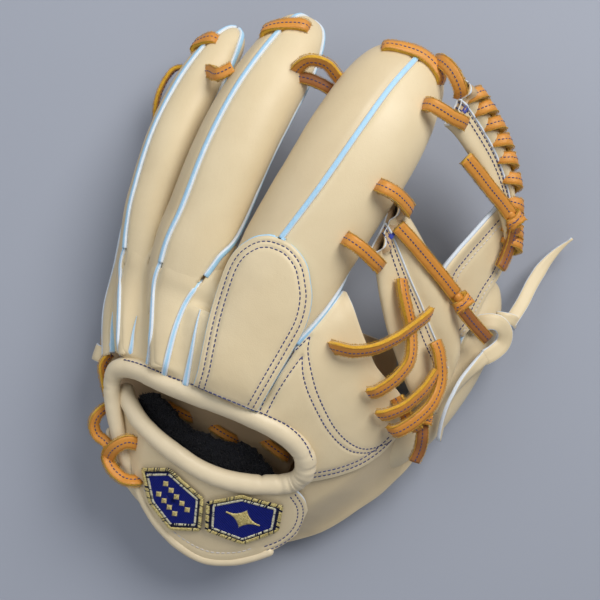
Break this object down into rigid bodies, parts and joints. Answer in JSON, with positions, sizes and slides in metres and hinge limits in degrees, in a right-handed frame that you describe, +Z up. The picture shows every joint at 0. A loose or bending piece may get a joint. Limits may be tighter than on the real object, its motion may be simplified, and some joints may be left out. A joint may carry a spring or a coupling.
{
  "type": "baseball glove",
  "caption": "Cream leather infield baseball glove for the left hand, palm down, with a laced web, padded wrist opening, fleece strap and folding thumb side.",
  "frame": {"origin": "on the surface that the glove lies on, under the centre of its box, measured without the loose ends of the thumb strap", "axes": "+Z up out of the back of the glove, +Y from the heel to the fingertips, +X towards the thumb and the web"},
  "size_m": [0.2334, 0.2888, 0.096],
  "materials": {
    "shell_leather": "smooth cream steerhide, light grain, satin",
    "lining_leather": "soft tan lining leather, matte",
    "felt": "grey wool felt padding",
    "welt": "thin light blue welting with white edges",
    "fleece": "black sheepskin fleece",
    "patch": "royal blue satin with gold and silver embroidered border",
    "lace": "orange tan rawhide lace with yellow fuzzy edges"
  },
  "bodies": {
    "hand": {"palm_shell": "shell_leather", "palm_felt": "felt", "palm_lining": "lining_leather", "heel_pad_pinky": "felt", "heel_pad_thumb": "felt", "back_lining": "lining_leather", "index_back": "shell_leather", "index_front": "shell_leather", "index_lining": "lining_leather", "index_welts": "welt", "middle_back": "shell_leather", "middle_front": "shell_leather", "middle_lining": "lining_leather", "middle_welts": "welt", "ring_back": "shell_leather", "ring_front": "shell_leather", "ring_lining": "lining_leather", "ring_welts": "welt", "fourchettes": "shell_leather", "index_pad": "shell_leather", "crotch_panel": "shell_leather", "upper_roll": "shell_leather", "side_roll": "shell_leather", "index_lace_ends": "lace", "fingertip_laces": "lace", "finger_ties": "lace", "wrist_lace": "lace", "pinky_loop_tab": "lining_leather"},
    "thumb_side": {"thumb_palm": "shell_leather", "thumb_back": "shell_leather", "thumb_front": "shell_leather", "thumb_lining": "lining_leather", "thumb_welts": "welt", "thumb_panel": "shell_leather", "wrist_panel": "shell_leather", "web_top_bar": "shell_leather", "web_bottom_bar": "shell_leather", "web_post": "shell_leather", "web_piping": "welt", "web_edge_lace": "lace", "web_lace_ends": "lace", "web_ties": "lace", "web_knots": "lace", "crotch_laces": "lace", "thumb_strap_knot": "shell_leather", "thumb_strap_long": "shell_leather", "thumb_strap_short": "shell_leather"},
    "pinky_side": {"pinky_palm": "shell_leather", "pinky_back": "shell_leather", "pinky_front": "shell_leather", "pinky_lining": "lining_leather", "pinky_welts": "welt"},
    "strap": {"wrist_strap": "shell_leather", "strap_binding": "shell_leather", "strap_fleece": "fleece", "patch_left": "patch", "patch_right": "patch", "lower_roll": "shell_leather"}
  },
  "joints": [
    {"name": "thumb_fold", "type": "hinge", "parent": "hand", "child": "thumb_side", "pos_m": [0.033, 0.0049, 0.05982], "axis": [0, 1, 0], "range_deg": [0, 25]},
    {"name": "pinky_fold", "type": "hinge", "parent": "hand", "child": "pinky_side", "pos_m": [-0.084, 0.0049, 0.03882], "axis": [0.06, -0.9897, 0.13], "range_deg": [0, 8]},
    {"name": "strap_lift", "type": "hinge", "parent": "hand", "child": "strap", "pos_m": [-0.01, -0.0896, 0.05482], "axis": [-0.9937, -0.0392, -0.1046], "range_deg": [0, 10]}
  ]
}
